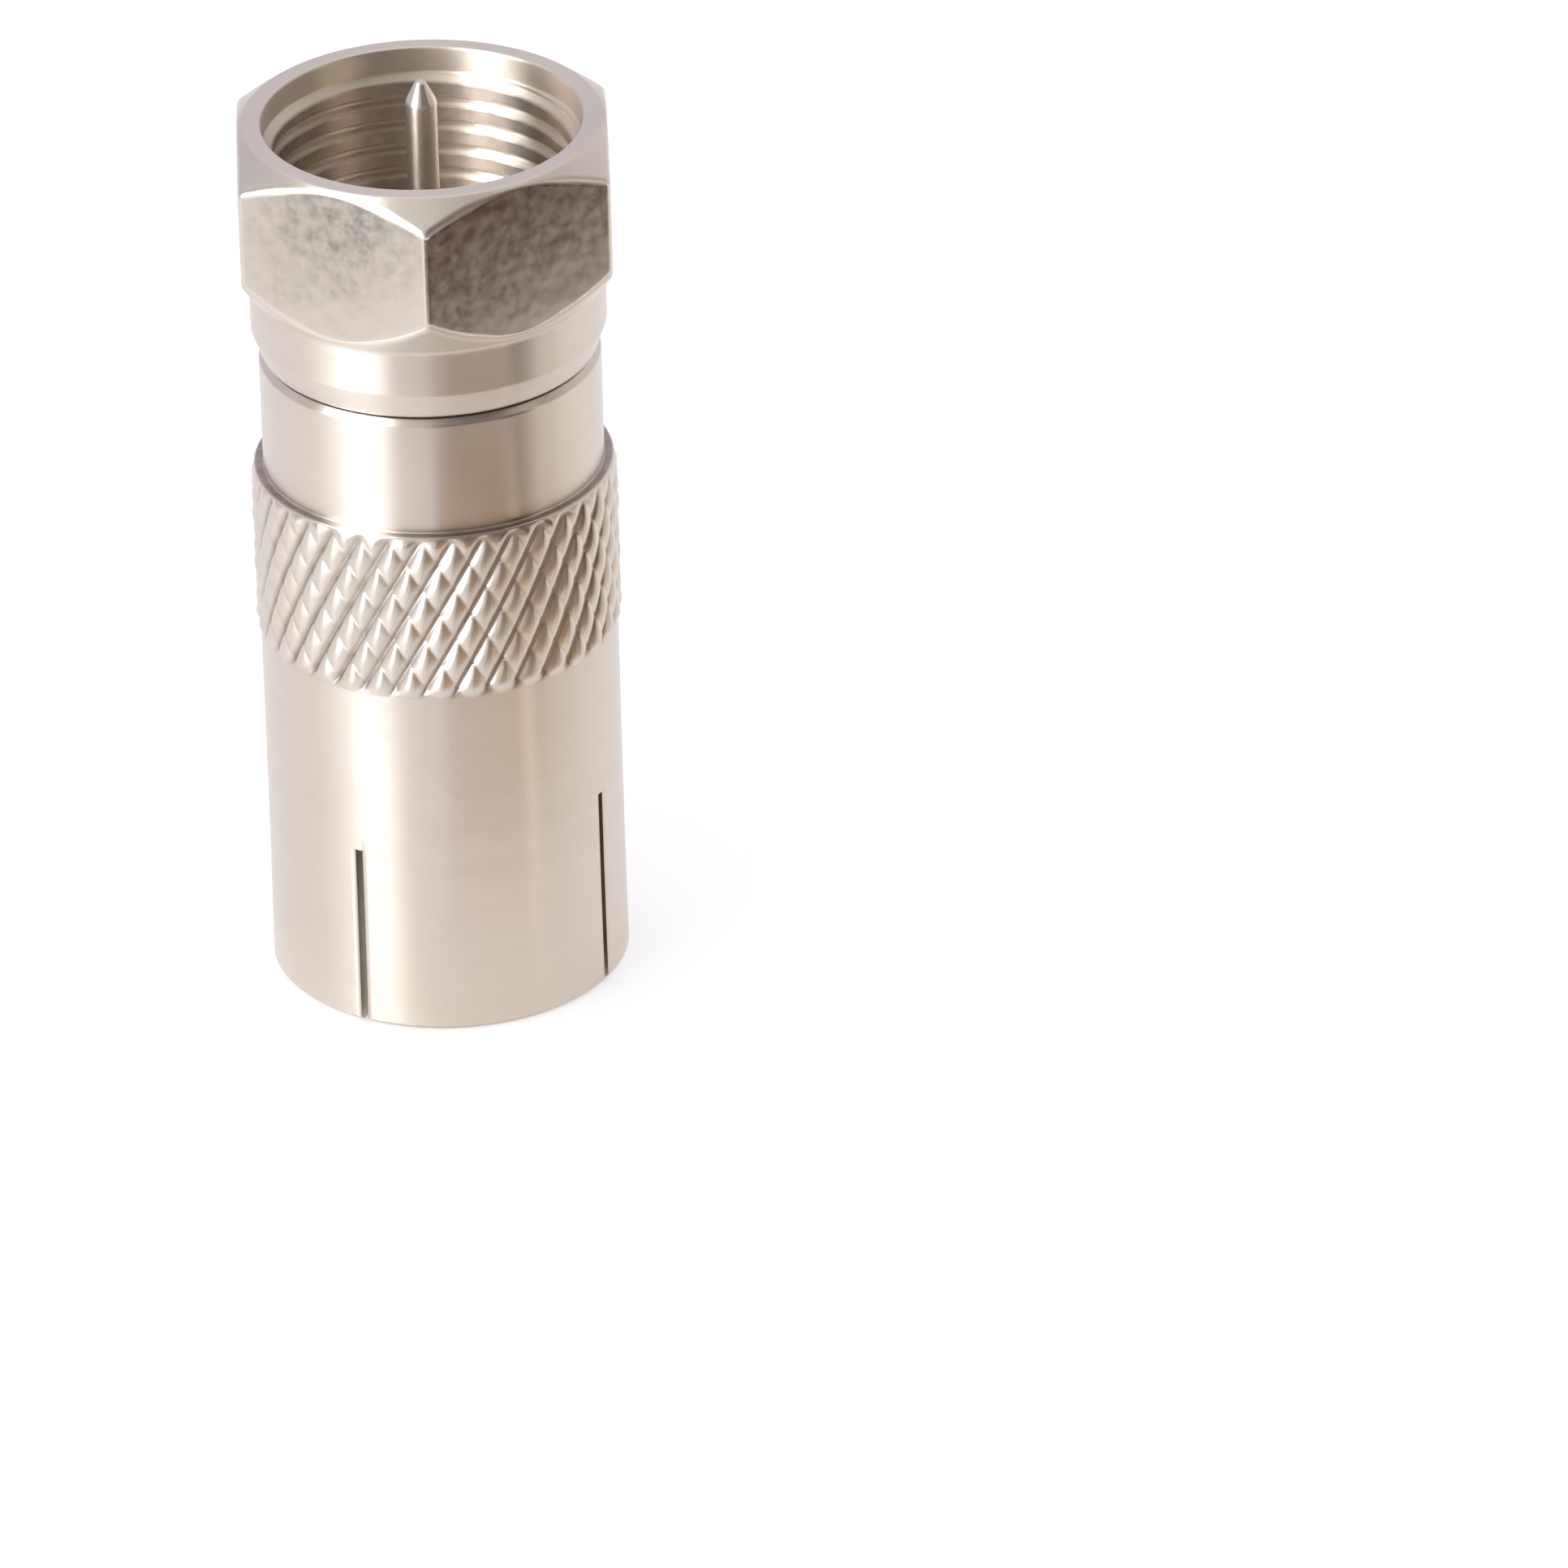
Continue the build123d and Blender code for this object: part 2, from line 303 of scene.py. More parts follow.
# Distance from the axis, the root of x squared plus y squared, and height.
def radiusAndHeight(tree, place):
    x, y, height = addNode(tree, "ShaderNodeSeparateXYZ", {0: place}).outputs
    squares = plus(tree, times(tree, x, x), times(tree, y, y))
    return calculate(tree, "SQRT", squares), height


# Rings left by the lathe tool: noise along height plus most of the distance from the axis, so that
# they run round walls, cones and flat ends alike, broken a little by slow noise in space.
def buildTurnedMarks():
    inputs = {"Rings Per Mm": 8.0, "Break Up": 0.15}
    tree, given, result = newGroup("turnedMarks", inputs, ["Marks", "Bands"])
    place = placeOnPart(tree)
    radius, height = radiusAndHeight(tree, place)
    radiusShare = 0.9
    slow = spaceNoise(tree, place, 0.9, 2.0)
    along = plus(tree, height, times(tree, radius, radiusShare))
    along = plus(tree, along, times(tree, slow, given["Break Up"]))
    rings = times(tree, along, given["Rings Per Mm"])
    tree.links.new(lineNoise(tree, rings, 1.0, 3.0, Roughness=0.65), result["Marks"])
    tree.links.new(lineNoise(tree, along, 1.3, 2.0), result["Bands"])
    return tree


# Skin of the plating: fine grain, slow clouds, broad waves, and specks where the plating is thin,
# which are what small flecks and wide patches together have over the speck level.
def buildPlateSkin():
    inputs = {"Grains Per Mm": 7.0, "Speck Level": 0.6}
    tree, given, result = newGroup("plateSkin", inputs, ["Grain", "Cloud", "Waves", "Specks"])
    place = placeOnPart(tree)
    fleckScale, fleckShare, speckContrast = 0.55, 0.65, 14.0
    grain = spaceNoise(tree, place, given["Grains Per Mm"], 3.0, Roughness=0.6)
    flecks = spaceNoise(tree, place, times(tree, given["Grains Per Mm"], fleckScale), 2.0)
    patches = spaceNoise(tree, place, 0.35, 1.0)
    both = plus(tree, times(tree, flecks, fleckShare), times(tree, patches, 1 - fleckShare))
    over = calculate(tree, "SUBTRACT", both, given["Speck Level"])
    tree.links.new(grain, result["Grain"])
    tree.links.new(spaceNoise(tree, place, 0.55, 3.0, Distortion=0.4), result["Cloud"])
    tree.links.new(spaceNoise(tree, place, 0.9, 1.5), result["Waves"])
    tree.links.new(clamped(tree, times(tree, over, speckContrast)), result["Specks"])
    return tree


# Painted shade by distance from the axis: full up to the deep radius, none from the clear radius
# on, and mottled by noise. It darkens the grip's grooves and shoulder and, in the nut, the thread's
# crests.
def buildPaintedRecessShade():
    inputs = {"Deep Radius": 5.3, "Clear Radius": 5.5}
    tree, given, result = newGroup("paintedRecessShade", inputs, ["Tone"])
    place = placeOnPart(tree)
    radius, height = radiusAndHeight(tree, place)
    feeds = {"Value": radius, "From Min": given["Deep Radius"], "From Max": given["Clear Radius"]}
    feeds.update({"To Min": 1.0, "To Max": 0.0})
    depth = addNode(tree, "ShaderNodeMapRange", feeds, interpolation_type="SMOOTHSTEP").outputs[0]
    mottle = plus(tree, spaceNoise(tree, place, 1.7, 2.0), 0.4)
    tree.links.new(clamped(tree, times(tree, depth, mottle)), result["Tone"])
    return tree


turnedMarks, plateSkin, paintedRecessShade = buildTurnedMarks(), buildPlateSkin(), buildPaintedRecessShade()


# Nickel plate: tone from clouds, specks and painted recess shade; gloss and relief from rings,
# grain and waves; and a gloss stretched round the axis where the lathe tool left its marks.
nickelLook = {
    "colour": (0.67, 0.608, 0.54, 1), "cloudColour": (0.63, 0.565, 0.495, 1),
    "speckColour": (0.46, 0.42, 0.41, 1), "recessColour": (0.40, 0.335, 0.275, 1),
    "roughness": 0.31, "roughnessSpread": 0.03, "stretch": 0.9, "bandShare": 0.3,
    "rings": 9.0, "ringDepth": 0.4, "grains": 7.0, "grainDepth": 0.3, "waveDepth": 0.0,
    "reliefHeight": 0.005, "speckLevel": 0.76, "deepRadius": 0.0, "clearRadius": 0.001,
}


def nickel(name, **changes):
    look = {**nickelLook, **changes}
    material, tree, shader = newMaterial(name)
    rings = useGroup(tree, turnedMarks, {"Rings Per Mm": look["rings"]})
    skin = useGroup(
        tree, plateSkin, {"Grains Per Mm": look["grains"], "Speck Level": look["speckLevel"]})
    recess = useGroup(
        tree, paintedRecessShade, {"Deep Radius": look["deepRadius"], "Clear Radius": look["clearRadius"]})
    tone = mixColour(tree, skin["Cloud"], look["colour"], look["cloudColour"])
    tone = mixColour(tree, skin["Specks"], tone, look["speckColour"])
    # Painted shade: the recess colour darkens the plate in the grip's grooves and on the thread's
    # crests.
    tone = mixColour(tree, recess["Tone"], tone, look["recessColour"])
    tree.links.new(tone, shader.inputs["Base Color"])
    bands = times(tree, rings["Bands"], look["bandShare"])
    texture = plus(tree, bands, times(tree, skin["Grain"], 1 - look["bandShare"]))
    roughness = spreadAround(tree, texture, look["roughness"], look["roughnessSpread"])
    tree.links.new(roughness, shader.inputs["Roughness"])
    marks = times(tree, rings["Marks"], look["ringDepth"])
    relief = plus(tree, marks, times(tree, skin["Grain"], look["grainDepth"]))
    if look["waveDepth"]:
        relief = plus(tree, relief, times(tree, skin["Waves"], look["waveDepth"]))
    feeds = {"Height": relief, "Distance": look["reliefHeight"] * millimetre, "Strength": 1.0}
    tree.links.new(addNode(tree, "ShaderNodeBump", feeds).outputs[0], shader.inputs["Normal"])
    shader.inputs["Metallic"].default_value = 1.0
    if look["stretch"]:
        setSockets(shader, {"Anisotropic": look["stretch"], "Anisotropic Rotation": 0.25})
        around = addNode(tree, "ShaderNodeTangent", direction_type="RADIAL", axis="Z")
        tree.links.new(around.outputs[0], shader.inputs["Tangent"])
    return material


nickelTurned = nickel("nickelTurned")
# Grip plate: its grooves and shoulder take the recess colour as painted shade.
nickelKnurl = nickel(
    "nickelKnurl", colour=(0.68, 0.62, 0.55, 1), cloudColour=(0.62, 0.555, 0.485, 1),
    recessColour=(0.33, 0.27, 0.235, 1), deepRadius=5.36, clearRadius=5.49,
    roughness=0.3, stretch=0.8, ringDepth=0.0)
nickelHex = nickel(
    "nickelHex", colour=(0.69, 0.63, 0.55, 1), cloudColour=(0.63, 0.56, 0.48, 1),
    roughness=0.2, roughnessSpread=0.04, stretch=0.0, bandShare=0.0, ringDepth=0.0,
    grains=3.0, grainDepth=0.0, waveDepth=2.1, speckLevel=0.9)
nickelFace = nickel("nickelFace", roughness=0.34, stretch=0.3, grainDepth=0.5)
# Thread plate: lighter than the rest, which is painted light that brightens the bore; its crests
# take the recess colour as painted shade.
nickelThread = nickel(
    "nickelThread", colour=(0.72, 0.65, 0.55, 1), recessColour=(0.42, 0.35, 0.295, 1),
    deepRadius=4.52, clearRadius=4.60, roughness=0.42, ringDepth=0.1, grainDepth=0.5)
nickelBore = nickel(
    "nickelBore", colour=(0.62, 0.555, 0.485, 1), cloudColour=(0.56, 0.49, 0.42, 1),
    roughness=0.30)
contactPlate = nickel("contactPlate", colour=(0.74, 0.68, 0.61, 1), roughness=0.32, ringDepth=0.3)


# Moulded plastic of the bushes: an off-white with a slow shift of tone and a fine dull grain.
insulatorLook = {
    "colour": (0.86, 0.85, 0.80, 1), "cloudColour": (0.79, 0.78, 0.72, 1), "grains": 9.0,
    "roughness": 0.5, "roughnessSpread": 0.08, "reliefHeight": 0.003,
}


def insulator(name, look):
    material, tree, shader = newMaterial(name)
    skin = useGroup(tree, plateSkin, {"Grains Per Mm": look["grains"]})
    tone = mixColour(tree, skin["Cloud"], look["colour"], look["cloudColour"])
    tree.links.new(tone, shader.inputs["Base Color"])
    roughness = spreadAround(tree, skin["Grain"], look["roughness"], look["roughnessSpread"])
    tree.links.new(roughness, shader.inputs["Roughness"])
    feeds = {"Height": skin["Grain"], "Distance": look["reliefHeight"] * millimetre}
    bump = addNode(tree, "ShaderNodeBump", {**feeds, "Strength": 1.0})
    tree.links.new(bump.outputs[0], shader.inputs["Normal"])
    return material


whiteInsulator = insulator("whiteInsulator", insulatorLook)
print("materials ready")


# Body: barrel with saw slots, knurled grip, neck, and the bores through it.
bodySizes = {
    "barrel": 5.45, "endChamfer": 0.15, "cavity": 4.8, "mouthChamfer": 0.2, "cavityDepth": 10.2,
    "gripBottom": 11.5, "gripTop": 17.0, "gripRim": 5.455, "rimHeight": 0.35, "rimRows": 4,
    "crest": 5.575, "steepDepth": 0.22, "crossDepth": 0.11, "pitDepth": 0.02,
    "grooveShape": 1.6, "knurlSoftness": 0.05, "starts": 36, "diamondHeight": 1.685,
    "cellsPerDiamond": 16, "neck": 5.175, "neckChamfer": 0.18, "neckRow": 18.5, "top": 20.77,
    "ferruleBore": 3.52, "bushStep": 12.47, "bushBore": 3.02,
    "slotHalfWidth": 0.12, "slotTopX": 6.6, "slotTopY": 6.0, "slotEdge": 0.045,
    "fingerSpread": 0.04, "wallRows": (2.0, 4.0, 8.5), "rowAboveSlot": 0.03,
    "fadeAboveSlots": 0.6, "rowBelowGrip": 0.05, "finishMargin": 0.01,
    "boreFinishRadius": 4.95, "boreFinishDrop": 0.1,
    "softBelowGrip": 0.1, "softBelowTop": 0.05, "softRadius": 5.2,
}


# Diamond knurl: with u counting diamonds round and v counting them upwards, grooves run where u + v
# and u - v pass a half. The surface lies below the crest by the softened larger of two depths, each
# growing as a power of the nearness to its groove, with pits where grooves cross. It fades to a
# plain rim at both ends.
def knurlRadii(sizes, heights, angles):
    around = angles[None] / (2 * np.pi) * sizes["starts"]
    upward = (heights[:, None] - sizes["gripBottom"] - sizes["rimHeight"]) / sizes["diamondHeight"]
    first, second = around + upward, around - upward
    first, second = 2 * abs(first - np.round(first)), 2 * abs(second - np.round(second))
    cross = sizes["crossDepth"] * first ** sizes["grooveShape"]
    steep = sizes["steepDepth"] * second ** sizes["grooveShape"]
    depth = softMax(cross, steep, sizes["knurlSoftness"]) - sizes["knurlSoftness"] / 2
    pattern = sizes["crest"] - depth - sizes["pitDepth"] * (first * second) ** 2
    inside = np.minimum(heights - sizes["gripBottom"], sizes["gripTop"] - heights)
    blend = np.clip(inside / sizes["rimHeight"], 0, 1)[:, None]
    blend = blend * blend * (3 - 2 * blend)
    return sizes["gripRim"] + (pattern - sizes["gripRim"]) * blend


# In the grip each cell is split along the nearer groove, which keeps grooves and ridges straight.
def splitCells(sizes, quads, heights, columns):
    around = (np.arange(columns) + 0.5)[None] / columns * sizes["starts"]
    upward = (heights[:, None] - sizes["gripBottom"] - sizes["rimHeight"]) / sizes["diamondHeight"]
    firstGap = abs(np.mod(around + upward, 1) - 0.5)
    secondGap = abs(np.mod(around - upward, 1) - 0.5)
    alongFirst = (firstGap < secondGap)[..., None]
    triangles = np.where(alongFirst, quads[..., [0, 1, 3]], quads[..., [0, 1, 2]])
    others = np.where(alongFirst, quads[..., [1, 2, 3]], quads[..., [0, 2, 3]])
    return [triangles.reshape(-1, 3), others.reshape(-1, 3)]


# The body's section turned about Z: up the outside, over the neck's end and down through the bores.
# In the grip the knurl's radius takes the section's place. The fingers between the slots spread by
# the square of the way down from the longer slots' top.
def makeBody(sizes):
    columns = sizes["starts"] * sizes["cellsPerDiamond"]
    barrel, cavity, neck = sizes["barrel"], sizes["cavity"], sizes["neck"]
    slotTops = (sizes["slotTopY"], sizes["slotTopX"])
    wallRows = [top + above for top in slotTops for above in (0, sizes["rowAboveSlot"])]
    wallRows = sorted([*sizes["wallRows"], *wallRows, sizes["slotTopX"] + sizes["fadeAboveSlots"]])
    lower = roundedSection([
        (cavity + sizes["mouthChamfer"], 0, 0),
        (barrel - sizes["endChamfer"], 0, 0.05),
        (barrel, sizes["endChamfer"], 0.05),
        *[(barrel, height, 0) for height in wallRows],
        (barrel, sizes["gripBottom"] - sizes["rowBelowGrip"], 0),
    ], closed=False)[1:]
    rimSteps = np.linspace(0, sizes["rimHeight"], sizes["rimRows"], endpoint=False)
    lattice = sizes["gripTop"] - sizes["gripBottom"] - 2 * sizes["rimHeight"]
    steps = round(lattice / sizes["diamondHeight"] * sizes["cellsPerDiamond"])
    middle = sizes["gripBottom"] + sizes["rimHeight"] + np.linspace(0, lattice, steps + 1)
    bandHeights = [sizes["gripBottom"] + rimSteps, middle, middle[-1] + rimSteps[1:]]
    bandHeights = np.concatenate(bandHeights)
    band = np.stack([np.full(len(bandHeights), sizes["gripRim"]), bandHeights], -1)
    upper = roundedSection([
        (sizes["gripRim"], bandHeights[-1], 0),
        (sizes["gripRim"], sizes["gripTop"], 0.06),
        (neck, sizes["gripTop"], 0.05),
        (neck, sizes["neckRow"], 0),
        (neck, sizes["top"] - sizes["neckChamfer"], 0.1),
        (neck - sizes["neckChamfer"], sizes["top"], 0.06),
        (sizes["ferruleBore"], sizes["top"], 0.05),
        (sizes["ferruleBore"], sizes["bushStep"], 0.05),
        (sizes["bushBore"], sizes["bushStep"], 0.05),
        (sizes["bushBore"], sizes["cavityDepth"], 0.05),
        (cavity, sizes["cavityDepth"], 0.08),
        *[(cavity, height, 0) for height in reversed(wallRows)],
        (cavity, sizes["mouthChamfer"], 0.05),
        (cavity + sizes["mouthChamfer"], 0, 0),
    ], closed=False)[1:]
    section = np.vstack([lower, band, upper])
    angles = np.arange(columns) * 2 * np.pi / columns
    radii = np.repeat(section[:, :1], columns, 1)
    radii[len(lower):len(lower) + len(band)] = knurlRadii(sizes, bandHeights, angles)
    down = np.clip(1 - section[:, 1] / sizes["slotTopX"], 0, 1)
    radii = radii + (down ** 2 * sizes["fingerSpread"])[:, None]
    slots = [(0, sizes["slotTopX"]), (0.25, sizes["slotTopY"])]
    slots += [(0.5, sizes["slotTopX"]), (0.75, sizes["slotTopY"])]
    points, cells, kept, walls = slottedTube(
        section, radii, columns, slots, sizes, (barrel + cavity) / 2)
    bandRows = np.arange(len(lower), len(lower) + len(band) - 1)
    kept[bandRows] = False
    cellHeights = (bandHeights[:-1] + bandHeights[1:]) / 2
    grip = splitCells(sizes, cells[bandRows], cellHeights, columns)

    def finishOf(radius, height, normal):
        margin, boreTop = sizes["finishMargin"], sizes["top"] - sizes["boreFinishDrop"]
        # The grip's shoulder counts as knurled, so that it takes the painted shade of the grip's
        # grooves.
        knurled = (height > sizes["gripBottom"]) & (height < sizes["gripTop"] + margin)
        knurled &= radius > neck + margin
        inner = (radius < sizes["boreFinishRadius"]) & (height < boreTop)
        return np.where(knurled, 1, np.where(inner, 2, 0))

    softBottom = sizes["gripBottom"] - sizes["softBelowGrip"]
    softTop = sizes["gripTop"] - sizes["softBelowTop"]
    return makePiece(
        "bodyShell", points, [cells[kept], *grip, *walls],
        [nickelTurned, nickelKnurl, nickelBore], finishOf,
        softBetween=(softBottom, softTop, sizes["softRadius"]))


seat(makeBody(bodySizes), "body", "shell")


# Coupling nut: lip, collar, hexagon with a cone at each end, and threaded bore.
nutSizes = {
    "bottom": 20.85, "top": 28.35, "halfFlats": 5.55, "cornerRounding": 0.22,
    "lipBore": 3.57, "lipTop": 22.25, "collar": 5.375, "collarTop": 23.15,
    "collarChamfer": 0.3, "collarChamferLength": 0.85, "rearAngle": 52.0,
    "face": 5.4, "faceAngle": 37.5, "mouth": 4.825, "mouthDepth": 0.8, "mouthSlope": 3 ** 0.5,
    "creaseReach": 0.2, "creaseShare": 0.38, "collarCrease": 0.12, "faceCrease": 0.08,
    "mouthCrease": 0.1, "threadCrest": 4.5, "threadRoot": 4.7625, "pitch": 25.4 / 32,
    "crestShare": 0.49, "rootShare": 0.11, "threadStart": 0.849, "rowsPerTurn": 26,
    "relief": 4.9125, "reliefLength": 0.894, "reliefBlend": 0.02, "mouthBlend": 0.03,
    "cornerTurns": (0, 0.3, 0.6, 0.9, 1.2, 1.6), "flatStart": 2.2, "flatColumns": 24,
    "flatRows": 4, "firstLipRow": 0.7, "lastLipRow": 1.0, "rowBelowCollarTop": 0.5,
    "rowAboveLip": 0.25, "boreStart": 0.2, "boreEnd": 0.3,
    "flatFinishRadius": 5.45, "boreFinishRadius": 4.93, "finishMargin": 0.02, "rimMargin": 0.05,
}


# Distance from the axis to a hexagon with rounded corners: the flat's distance divided by the
# cosine of the angle from its middle, or the rounding's circle near a corner. Flats face -Y and +Y.
def hexagonRadius(sizes, fromCorner):
    half, rounding, thirty = sizes["halfFlats"], sizes["cornerRounding"], np.pi / 6
    flat = half / np.cos(thirty - abs(fromCorner))
    centre = (half - rounding) / np.cos(thirty)
    tangent = thirty - np.arctan((half - rounding) * np.tan(thirty) / half)
    inside = np.minimum(abs(fromCorner), tangent)
    arc = centre * np.cos(inside) + np.sqrt(rounding ** 2 - (centre * np.sin(inside)) ** 2)
    return np.where(abs(fromCorner) < tangent, arc, flat)


# Rows that round a crease: a quadratic curve from one side to the other, plus a guard row each way.
def creaseRows(radius, height, arriving, leaving, reach, steps=5, guard=1.25):
    share = np.linspace(0, 1, steps + 1)[:, None]
    before, after = (1 - share) ** 2 * reach, share ** 2 * reach
    before = np.vstack([guard * reach[None], before, 0 * reach[None]])
    after = np.vstack([0 * reach[None], after, guard * reach[None]])
    radii = radius - before * arriving[0] + after * leaving[0]
    return radii, height - before * arriving[1] + after * leaving[1]


# Bore of the nut: a right-handed 60 degree thread whose phase is height over pitch less turns,
# joined with the relief below it and the coned mouth above it by taking the larger radius.
def threadedBore(sizes, heights, angles):
    phase = heights[:, None] / sizes["pitch"] - angles[None] / (2 * np.pi) - sizes["threadStart"]
    fromCrest = abs(phase - np.round(phase))
    crestHalf, rootHalf = sizes["crestShare"] / 2, sizes["rootShare"] / 2
    flank = np.clip((fromCrest - crestHalf) / (0.5 - crestHalf - rootHalf), 0, 1)
    bore = sizes["threadCrest"] + flank * (sizes["threadRoot"] - sizes["threadCrest"])
    above = np.maximum(heights - sizes["lipTop"] - sizes["reliefLength"], 0)
    below = np.maximum(sizes["top"] - sizes["mouthDepth"] - heights, 0)
    relief = (sizes["relief"] - above)[:, None]
    mouth = (sizes["mouth"] - below * sizes["mouthSlope"])[:, None]
    return softMax(softMax(bore, relief, sizes["reliefBlend"]), mouth, sizes["mouthBlend"])


# The nut's rows, from the lip's bore over the outside and down the threaded bore, each a radius and
# a height at every angle. The cones end where they meet the hexagon's radius, so their edges rise
# and fall from corner to corner.
def makeNut(sizes):
    flatTurns = np.linspace(sizes["flatStart"], 30, sizes["flatColumns"])
    half = np.concatenate([sizes["cornerTurns"], flatTurns])
    fromCorner = np.radians(np.concatenate([-half[:0:-1], half[:-1]]))
    fromCorner = np.tile(fromCorner, 6)
    angles = fromCorner + np.repeat(np.arange(6), len(fromCorner) // 6) * np.pi / 3
    hexagon = hexagonRadius(sizes, fromCorner)
    rear, front = np.radians(sizes["rearAngle"]), np.radians(sizes["faceAngle"])
    rearHeight = sizes["collarTop"] + (hexagon - sizes["collar"]) * np.tan(rear)
    frontHeight = sizes["top"] - (hexagon - sizes["face"]) * np.tan(front)
    one = np.ones_like(angles)
    up, down, inward = (0, 1), (0, -1), (-1, 0)
    rearCone, frontCone = (np.cos(rear), np.sin(rear)), (-np.cos(front), np.sin(front))
    rearRoom = (hexagon - sizes["collar"]) / np.cos(rear) * sizes["creaseShare"]
    frontRoom = (hexagon - sizes["face"]) / np.cos(front) * sizes["creaseShare"]
    reach = sizes["creaseReach"]
    rearReach, frontReach = np.minimum(rearRoom, reach), np.minimum(frontRoom, reach)
    collarReach = np.minimum(rearRoom, sizes["collarCrease"])
    faceReach = np.minimum(frontRoom, sizes["faceCrease"])
    rearPart = roundedSection([
        (sizes["lipBore"], sizes["bottom"] + sizes["firstLipRow"], 0),
        (sizes["lipBore"], sizes["bottom"], 0.06),
        (sizes["collar"] - sizes["collarChamfer"], sizes["bottom"], 0.12),
        (sizes["collar"], sizes["bottom"] + sizes["collarChamferLength"], 0.3),
        (sizes["collar"], sizes["collarTop"] - sizes["rowBelowCollarTop"], 0),
    ], closed=False)
    lipPart = roundedSection([
        (sizes["relief"], sizes["lipTop"] + sizes["rowAboveLip"], 0),
        (sizes["relief"], sizes["lipTop"], 0.06),
        (sizes["lipBore"], sizes["lipTop"], 0.06),
        (sizes["lipBore"], sizes["bottom"] + sizes["lastLipRow"], 0),
    ], closed=False)
    flats = np.linspace(0, 1, sizes["flatRows"] + 2)[1:-1, None]
    flatHeights = rearHeight + reach + (frontHeight - rearHeight - 2 * reach) * flats
    boreStart, boreEnd = sizes["top"] - sizes["boreStart"], sizes["lipTop"] + sizes["boreEnd"]
    boreHeights = np.arange(boreStart, boreEnd, -(sizes["pitch"] / sizes["rowsPerTurn"]))
    blocks = [
        (rearPart[:, :1], rearPart[:, 1:]),
        creaseRows(sizes["collar"], sizes["collarTop"], up, rearCone, collarReach),
        creaseRows(hexagon, rearHeight, rearCone, up, rearReach),
        (hexagon * np.ones_like(flats), flatHeights),
        creaseRows(hexagon, frontHeight, up, frontCone, frontReach),
        creaseRows(sizes["face"], sizes["top"], frontCone, inward, faceReach),
        creaseRows(sizes["mouth"], sizes["top"], inward, down, sizes["mouthCrease"] * one),
        (threadedBore(sizes, boreHeights, angles), boreHeights[:, None]),
        (lipPart[:, :1], lipPart[:, 1:]),
    ]
    radii = np.vstack([block[0] * one for block in blocks])
    heights = np.vstack([block[1] * one for block in blocks])
    points = turnedPoints(radii, heights, angles[None])
    cells = closedCells(*radii.shape).reshape(-1, 4)

    def finishOf(radius, height, normal):
        upright, level = normal[:, 2] ** 2 < 0.02, normal[:, 2] > 0.9
        flat = upright & (radius > sizes["flatFinishRadius"]) & (height > sizes["collarTop"])
        rim = level & (height > sizes["top"] - sizes["rimMargin"])
        bore = (height > sizes["lipTop"]) & (height < sizes["top"] - sizes["finishMargin"])
        bore &= radius < sizes["boreFinishRadius"]
        return np.where(flat, 1, np.where(rim, 2, np.where(bore, 3, 0)))

    materials = [nickelTurned, nickelHex, nickelFace, nickelThread]
    return makePiece("couplingNut", points, [cells], materials, finishOf)


seat(makeNut(nutSizes), "coupling_nut", "nut")


# Ferrule, pin and bushes: (radius, height, rounding) corners of their sections
ferruleCorners = [
    (2.52, 15.77, 0.05), (3.35, 15.77, 0.05), (3.5, 15.92, 0.05), (3.5, 22.35, 0.05),
    (4.1, 22.35, 0.05), (4.1, 23.1, 0.05), (3.95, 23.25, 0.05), (2.02, 23.25, 0.06),
    (2.02, 22.45, 0.03), (2.52, 22.45, 0.03),
]
pinCorners = [
    (0, 11.72, 0), (0.65, 11.72, 0.04), (0.65, 23.05, 0.03), (0.475, 23.05, 0.03),
    (0.475, 28.9, 0.35), (0.15, 29.55, 0.12), (0, 29.55, 0),
]
coaxBushCorners = [
    (1.77, 9.4, 0.05), (3.0, 9.4, 0.1), (3.0, 12.47, 0.03), (3.5, 12.47, 0.05),
    (3.5, 15.77, 0.05), (2.22, 15.77, 0.05), (2.22, 13.92, 0.03), (1.77, 13.92, 0.03),
]
frontBushCorners = [
    (0.67, 14.92, 0.03), (2.2, 14.92, 0.05), (2.2, 15.77, 0.03), (2.5, 15.77, 0.05),
    (2.5, 22.45, 0.05), (2.0, 22.45, 0.03), (2.0, 23.05, 0.08), (0.67, 23.05, 0.04),
]

# Centre contact: a tube slotted in four, with a flange and a solid end that holds the pin.
contactSizes = {
    "outer": 1.75, "inner": 1.2, "bottom": 1.2, "leadIn": 0.2, "boreTop": 10.5,
    "pinBore": 0.67, "pinBottom": 11.72, "flange": 2.2, "flangeBottom": 13.92, "top": 14.92,
    "slots": 4, "slotTop": 6.7, "slotHalfWidth": 0.175, "slotEdge": 0.02,
    "wallRows": (3.0, 6.7, 9.0), "columns": 160,
}


# The contact's section starts at its lower outer corner, so that a slot's sides cross its seam.
def makeContact(sizes):
    outer, inner, bottom = sizes["outer"], sizes["inner"], sizes["bottom"]
    section = roundedSection([
        (outer, bottom, 0.04),
        *[(outer, height, 0) for height in sizes["wallRows"]],
        (outer, sizes["flangeBottom"], 0.04),
        (sizes["flange"], sizes["flangeBottom"], 0.04),
        (sizes["flange"], sizes["top"], 0.04),
        (sizes["pinBore"], sizes["top"], 0.03),
        (sizes["pinBore"], sizes["pinBottom"], 0.03),
        (0, sizes["pinBottom"], 0),
        (0, sizes["boreTop"], 0),
        (inner, sizes["boreTop"], 0.04),
        *[(inner, height, 0) for height in reversed(sizes["wallRows"])],
        (inner, bottom + sizes["leadIn"], 0.04),
        (inner + sizes["leadIn"], bottom, 0.04),
    ])
    slots = [(number / sizes["slots"], sizes["slotTop"]) for number in range(sizes["slots"])]
    points, cells, kept, walls = slottedTube(
        section, section[:, :1], sizes["columns"], slots, sizes, (outer + inner) / 2)
    return makePiece("splitContact", points, [cells[kept], *walls], [contactPlate], oneFinish)


